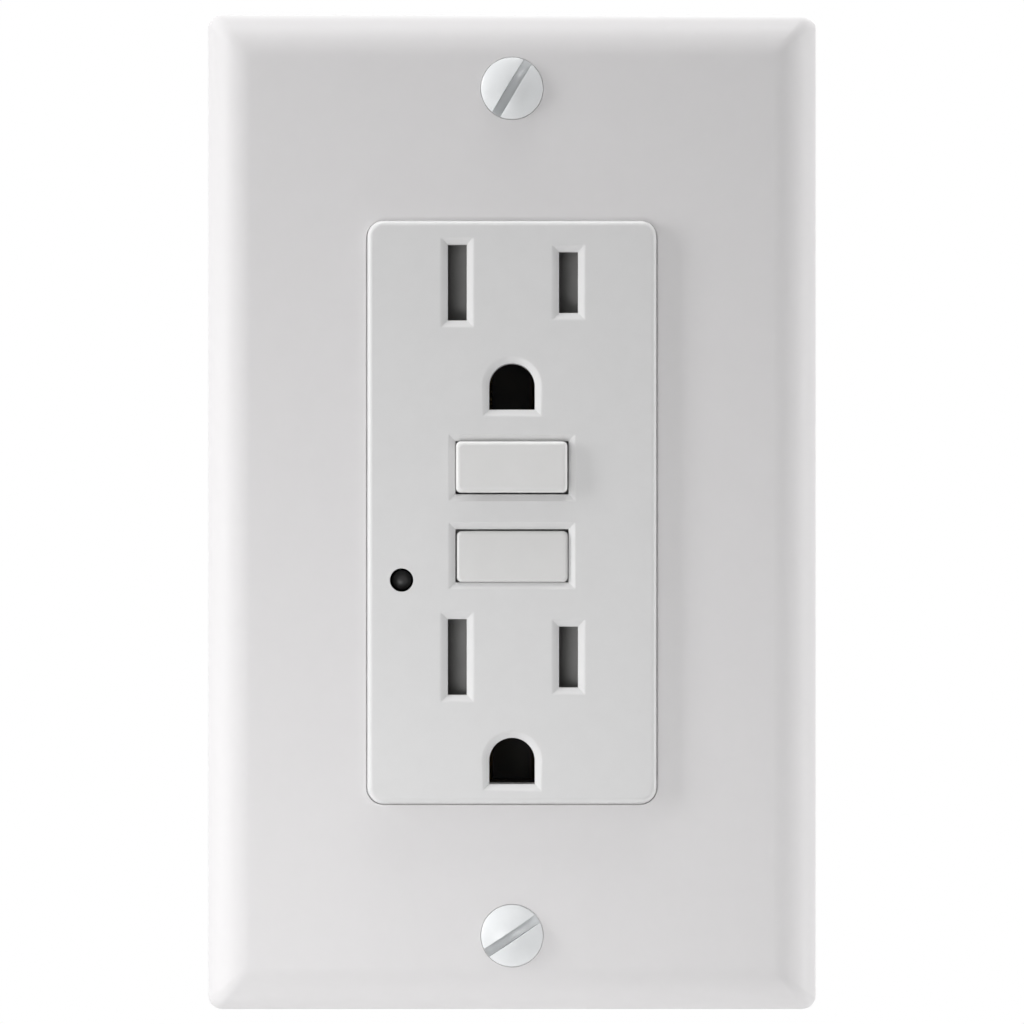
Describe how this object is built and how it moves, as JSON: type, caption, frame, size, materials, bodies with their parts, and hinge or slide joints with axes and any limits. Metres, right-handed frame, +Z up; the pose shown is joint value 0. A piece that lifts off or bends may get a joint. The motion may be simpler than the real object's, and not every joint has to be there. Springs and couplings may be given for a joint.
{
  "type": "ground-fault duplex receptacle",
  "caption": "Rectangular white wall receptacle with ground-fault reset and test buttons, tamper shutters, screw terminals and a bevelled wall plate.",
  "frame": {"origin": "middle of the wall plane, between the two box screws, on the back of the strap and the plate's rim", "axes": "+Z up along the plate's height, +Y into the wall, +X to the right seen from the face"},
  "size_m": [0.0698, 0.0359, 0.1142],
  "materials": {
    "white_plastic": "smooth gloss white moulding",
    "face_plastic": "satin white moulding",
    "painted_screw": "white enamel over steel",
    "dark_plastic": "black moulding",
    "shutter_plastic": "grey moulding",
    "middle_plastic": "light grey moulding",
    "rear_plastic": "charcoal moulding",
    "spring_steel": "drawn spring steel",
    "zinc_steel": "zinc plated steel",
    "silver_metal": "nickel plated",
    "brass": "rolled brass",
    "green_screw": "green dyed steel",
    "card": "pressed card",
    "enamel_wire": "enamelled copper winding",
    "board": "green laminate",
    "component_blue": "blue epoxy coat",
    "component_tan": "tan coat",
    "clear_plastic": "clear moulding",
    "lamp_plastic": "tinted lamp body"
  },
  "bodies": {
    "receptacle": {"wall_plate": "white_plastic", "plate_screws": "painted_screw", "front_cover": "face_plastic", "reset_spring": "spring_steel", "test_spring": "spring_steel", "test_contact": "brass", "upper_shutter_spring": "spring_steel", "lower_shutter_spring": "spring_steel", "shutter_trays": "dark_plastic", "mounting_strap": "zinc_steel", "box_screws": "zinc_steel", "screw_retainers": "card", "ground_contacts": "brass", "ground_screw": "green_screw", "middle_housing": "middle_plastic", "rear_housing": "rear_plastic", "housing_screws": "zinc_steel", "load_hot_contact": "brass", "load_neutral_contact": "brass", "line_hot_terminal": "brass", "line_neutral_terminal": "silver_metal", "hot_terminal_screws": "brass", "neutral_terminal_screws": "silver_metal", "wire_clamps": "zinc_steel", "fixed_contacts": "silver_metal", "plunger_spring": "spring_steel", "solenoid_frame": "zinc_steel", "solenoid_bobbin": "dark_plastic", "solenoid_winding": "enamel_wire", "coil_holder": "dark_plastic", "sense_coil": "enamel_wire", "neutral_coil": "enamel_wire", "circuit_board": "board", "controller_chip": "dark_plastic", "surge_absorber": "component_blue", "capacitor": "dark_plastic", "test_resistor": "component_tan", "diodes": "dark_plastic", "indicator_lens": "clear_plastic", "indicator_lamp": "lamp_plastic"},
    "reset": {"reset_button": "face_plastic", "reset_shaft": "dark_plastic"},
    "test": {"test_button": "face_plastic"},
    "upper_door": {"upper_shutter": "shutter_plastic"},
    "lower_door": {"lower_shutter": "shutter_plastic"},
    "plunger": {"plunger": "zinc_steel"},
    "carriage": {"contact_carriage": "dark_plastic"},
    "latch": {"latch_plate": "zinc_steel"},
    "hot_arm": {"hot_contact_arm": "brass", "hot_arm_contact": "silver_metal"},
    "neutral_arm": {"neutral_contact_arm": "brass", "neutral_arm_contact": "silver_metal"}
  },
  "joints": [
    {"name": "reset_press", "type": "slide", "parent": "receptacle", "child": "reset", "axis": [0, 1, 0], "range_m": [0, 0.0016], "stiffness_N_per_m": 500, "springref_m": -0.004, "deforming": ["reset_spring"]},
    {"name": "test_press", "type": "slide", "parent": "receptacle", "child": "test", "axis": [0, 1, 0], "range_m": [0, 0.0012], "stiffness_N_per_m": 600, "springref_m": -0.002, "deforming": ["test_spring"]},
    {"name": "upper_shutter_slide", "type": "slide", "parent": "receptacle", "child": "upper_door", "axis": [1, 0, 0], "range_m": [0, 0.0026], "stiffness_N_per_m": 150, "springref_m": -0.004, "deforming": ["upper_shutter_spring"]},
    {"name": "lower_shutter_slide", "type": "slide", "parent": "receptacle", "child": "lower_door", "axis": [1, 0, 0], "range_m": [0, 0.0026], "stiffness_N_per_m": 150, "springref_m": -0.004, "deforming": ["lower_shutter_spring"]},
    {"name": "plunger_slide", "type": "slide", "parent": "receptacle", "child": "plunger", "axis": [0, 0, 1], "range_m": [0, 0.0018], "stiffness_N_per_m": 200, "springref_m": -0.004, "deforming": ["plunger_spring"]},
    {"name": "carriage_drop", "type": "slide", "parent": "receptacle", "child": "carriage", "axis": [0, 1, 0], "range_m": [0, 0.0012]},
    {"name": "latch_slide", "type": "slide", "parent": "carriage", "child": "latch", "axis": [0, 0, 1], "range_m": [0, 0.0018]},
    {"name": "hot_arm_bend", "type": "hinge", "parent": "receptacle", "child": "hot_arm", "pos_m": [0, 0.0144, -0.011], "axis": [-1, 0, 0], "range_deg": [0, 4]},
    {"name": "neutral_arm_bend", "type": "hinge", "parent": "receptacle", "child": "neutral_arm", "pos_m": [0, 0.0144, -0.011], "axis": [-1, 0, 0], "range_deg": [0, 4]}
  ],
  "couplings": [
    {"joint": "carriage_drop", "follows": "plunger_slide", "ratio": 0.6666},
    {"joint": "latch_slide", "follows": "plunger_slide", "ratio": 1},
    {"joint": "hot_arm_bend", "follows": "plunger_slide", "rad_per_m": 38.7},
    {"joint": "neutral_arm_bend", "follows": "plunger_slide", "rad_per_m": 38.7}
  ]
}
